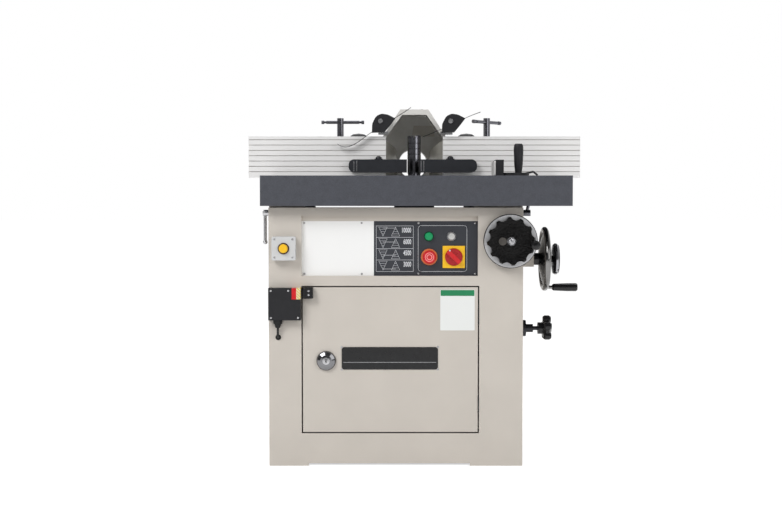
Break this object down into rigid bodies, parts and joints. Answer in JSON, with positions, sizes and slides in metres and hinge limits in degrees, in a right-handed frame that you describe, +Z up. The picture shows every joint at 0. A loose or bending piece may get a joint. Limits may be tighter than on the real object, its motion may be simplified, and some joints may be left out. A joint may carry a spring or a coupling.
{
  "type": "spindle moulder",
  "caption": "Spindle moulder with a cast table, grooved split fence with hood and hold-downs, belt-driven rising spindle, mitre gauge and a sheet-steel cabinet with a door.",
  "frame": {"origin": "on the floor, under the spindle axis, at the middle of the outline seen from above", "axes": "+X to the right seen from the front, +Y to the back, +Z up"},
  "size_m": [1.048, 0.87, 1.0845],
  "materials": {
    "cabinet_paint": "fine textured satin paint",
    "door_paint": "fine textured satin paint",
    "hood_paint": "satin paint",
    "cast_table": "ground, lightly oiled",
    "cast_dark": "as cast, painted",
    "fence_alu": "extruded, brushed",
    "cast_alu": "as cast",
    "steel": "turned",
    "chrome": "polished",
    "black_plastic": "glossy black",
    "black_matte": "matte black",
    "white_panel": "blank satin plate",
    "plate_black": "blank satin plate",
    "red_plastic": "semi gloss",
    "green_plastic": "semi gloss",
    "yellow_plastic": "semi gloss",
    "grey_plastic": "fine grain",
    "lamp_lens": "milky lens",
    "rubber": "matte"
  },
  "bodies": {
    "cabinet": {"left_side_panel": "cabinet_paint", "right_side_panel": "cabinet_paint", "back_panel": "cabinet_paint", "front_panel": "cabinet_paint", "table": "cast_table", "table_ring": "steel", "hinge_pins": "steel", "blank_panel": "white_panel", "switch_panel": "black_matte", "pilot_lamp": "lamp_lens", "switch_bases": "yellow_plastic", "button_box": "grey_plastic", "interlock_switch": "black_matte", "front_screws": "steel", "cable_fittings": "black_matte", "interlock_cable": "rubber", "star_flange": "steel", "quill_guide": "cast_dark", "drive_belt": "rubber", "cross_bars": "steel"},
    "door": {"door": "door_paint", "door_screws": "steel", "blank_nameplate": "plate_black", "interlock_actuator": "black_matte"},
    "door_knob": {"door_knob": "chrome"},
    "start_button": {"start_button": "green_plastic"},
    "stop_button": {"stop_button": "red_plastic"},
    "box_button": {"box_button": "yellow_plastic"},
    "switch_knob": {"switch_knob": "red_plastic"},
    "front_wheel": {"front_handwheel": "black_plastic", "dial_ring": "steel", "lift_shaft": "steel"},
    "front_crank": {"front_crank": "black_plastic"},
    "lift_screw": {"lift_screw": "steel"},
    "quill": {"quill": "cast_dark", "quill_bearings": "steel"},
    "spindle": {"spindle": "steel", "spindle_collars": "steel"},
    "spindle_pulley": {"spindle_pulley": "cast_alu"},
    "motor": {"motor": "cast_dark"},
    "motor_pulley": {"motor_pulley": "cast_alu"},
    "side_wheel": {"side_handwheel": "chrome"},
    "side_lock_knob": {"side_lock_knob": "black_plastic"},
    "side_handle": {"side_handle": "black_plastic"},
    "star_knob": {"star_knob": "black_plastic"},
    "left_lever": {"left_lock_lever": "steel"},
    "right_lever": {"right_lock_lever": "steel"},
    "fence": {"hood": "hood_paint", "fence_bases": "cast_dark", "fence_caps": "black_plastic"},
    "left_fence_plate": {"fence_left": "fence_alu", "shoe_left": "black_matte"},
    "right_fence_plate": {"fence_right": "fence_alu", "shoe_right": "black_matte"},
    "left_tee": {"tee_handle_left": "steel"},
    "right_tee": {"tee_handle_right": "steel"},
    "left_hold_down": {"hold_down_left": "black_plastic"},
    "right_hold_down": {"hold_down_right": "black_plastic"},
    "mitre_bar": {"mitre_bar": "steel"},
    "mitre_head": {"mitre_head": "cast_alu"}
  },
  "joints": [
    {"name": "door_swing", "type": "hinge", "parent": "cabinet", "child": "door", "pos_m": [0.186, -0.316, 0.318], "axis": [0, 0, 1], "range_deg": [0, 100]},
    {"name": "door_knob_turn", "type": "hinge", "parent": "door", "child": "door_knob", "pos_m": [-0.2665, -0.315, 0.3155], "axis": [0, 1, 0], "range_deg": [0, 90]},
    {"name": "start_press", "type": "slide", "parent": "cabinet", "child": "start_button", "axis": [0, 1, 0], "range_m": [0, 0.004], "stiffness_N_per_m": 600},
    {"name": "stop_press", "type": "slide", "parent": "cabinet", "child": "stop_button", "axis": [0, 1, 0], "range_m": [0, 0.004], "stiffness_N_per_m": 900},
    {"name": "box_button_press", "type": "slide", "parent": "cabinet", "child": "box_button", "axis": [0, 1, 0], "range_m": [0, 0.004], "stiffness_N_per_m": 600},
    {"name": "switch_turn", "type": "hinge", "parent": "cabinet", "child": "switch_knob", "pos_m": [0.1126, -0.3, 0.6235], "axis": [0, 1, 0], "range_deg": [0, 90]},
    {"name": "lift_wheel_turn", "type": "hinge", "parent": "cabinet", "child": "front_wheel", "pos_m": [0.278, -0.34, 0.6715], "axis": [0, 1, 0], "range_deg": [-5760, 2160]},
    {"name": "crank_spin", "type": "hinge", "parent": "front_wheel", "child": "front_crank", "pos_m": [0.3435, -0.4, 0.6615], "axis": [0, 1, 0], "continuous": true},
    {"name": "lift_screw_turn", "type": "hinge", "parent": "cabinet", "child": "lift_screw", "pos_m": [0.278, 0.13, 0.5], "axis": [0, 0, 1], "range_deg": [-2161, 5761]},
    {"name": "quill_lift", "type": "slide", "parent": "cabinet", "child": "quill", "axis": [0, 0, 1], "range_m": [-0.0801, 0.0301]},
    {"name": "spindle_spin", "type": "hinge", "parent": "quill", "child": "spindle", "pos_m": [0, 0, 0.9], "axis": [0, 0, 1], "continuous": true},
    {"name": "spindle_pulley_spin", "type": "hinge", "parent": "cabinet", "child": "spindle_pulley", "pos_m": [0, 0, 0.35], "axis": [0, 0, 1], "continuous": true},
    {"name": "motor_slide", "type": "slide", "parent": "cabinet", "child": "motor", "axis": [1, 0, 0], "range_m": [-0.0251, 0.0001], "deforming": ["drive_belt"]},
    {"name": "motor_spin", "type": "hinge", "parent": "motor", "child": "motor_pulley", "pos_m": [0.19, 0, 0.36], "axis": [0, 0, 1], "continuous": true},
    {"name": "tension_wheel_turn", "type": "hinge", "parent": "cabinet", "child": "side_wheel", "pos_m": [0.39, -0.23, 0.6145], "axis": [1, 0, 0], "range_deg": [-2250, 0]},
    {"name": "lock_knob_turn", "type": "hinge", "parent": "side_wheel", "child": "side_lock_knob", "pos_m": [0.42, -0.23, 0.6145], "axis": [1, 0, 0], "range_deg": [-120, 0]},
    {"name": "side_handle_spin", "type": "hinge", "parent": "side_wheel", "child": "side_handle", "pos_m": [0.44, -0.23, 0.529], "axis": [1, 0, 0], "continuous": true},
    {"name": "star_knob_turn", "type": "hinge", "parent": "cabinet", "child": "star_knob", "pos_m": [0.4, -0.23, 0.4045], "axis": [1, 0, 0], "range_deg": [-720, 0]},
    {"name": "left_lever_turn", "type": "hinge", "parent": "cabinet", "child": "left_lever", "pos_m": [-0.445, -0.25, 0.754], "axis": [1, 0, 0], "range_deg": [-60, 60]},
    {"name": "right_lever_turn", "type": "hinge", "parent": "cabinet", "child": "right_lever", "pos_m": [0.325, -0.25, 0.754], "axis": [1, 0, 0], "range_deg": [-60, 60]},
    {"name": "fence_shift", "type": "slide", "parent": "cabinet", "child": "fence", "axis": [0, 1, 0], "range_m": [-0.035, 0.02]},
    {"name": "left_plate_shift", "type": "slide", "parent": "fence", "child": "left_fence_plate", "axis": [1, 0, 0], "range_m": [-0.04, 0.015]},
    {"name": "right_plate_shift", "type": "slide", "parent": "fence", "child": "right_fence_plate", "axis": [1, 0, 0], "range_m": [-0.015, 0.04]},
    {"name": "left_tee_turn", "type": "hinge", "parent": "fence", "child": "left_tee", "pos_m": [-0.24, 0.12, 1], "axis": [0, 0, 1], "range_deg": [-180, 180]},
    {"name": "right_tee_turn", "type": "hinge", "parent": "fence", "child": "right_tee", "pos_m": [0.24, 0.12, 1], "axis": [0, 0, 1], "range_deg": [-180, 180]},
    {"name": "left_hold_down_tilt", "type": "hinge", "parent": "fence", "child": "left_hold_down", "pos_m": [-0.107, -0.064, 1.041], "axis": [0, 1, 0], "range_deg": [-12, 12]},
    {"name": "right_hold_down_tilt", "type": "hinge", "parent": "fence", "child": "right_hold_down", "pos_m": [0.113, -0.064, 1.041], "axis": [0, 1, 0], "range_deg": [-12, 12]},
    {"name": "mitre_slide", "type": "slide", "parent": "cabinet", "child": "mitre_bar", "axis": [1, 0, 0], "range_m": [-0.6, 0.03]},
    {"name": "mitre_turn", "type": "hinge", "parent": "mitre_bar", "child": "mitre_head", "pos_m": [0.293, -0.23, 0.87], "axis": [0, 0, 1], "range_deg": [-60, 60]}
  ],
  "couplings": [
    {"joint": "lift_screw_turn", "follows": "lift_wheel_turn", "ratio": -1},
    {"joint": "quill_lift", "follows": "lift_wheel_turn", "m_per_rad": 0.00079577},
    {"joint": "motor_slide", "follows": "tension_wheel_turn", "m_per_rad": 0.00063662},
    {"joint": "spindle_spin", "follows": "motor_spin", "ratio": 1.7415},
    {"joint": "spindle_pulley_spin", "follows": "motor_spin", "ratio": 1.7415}
  ]
}
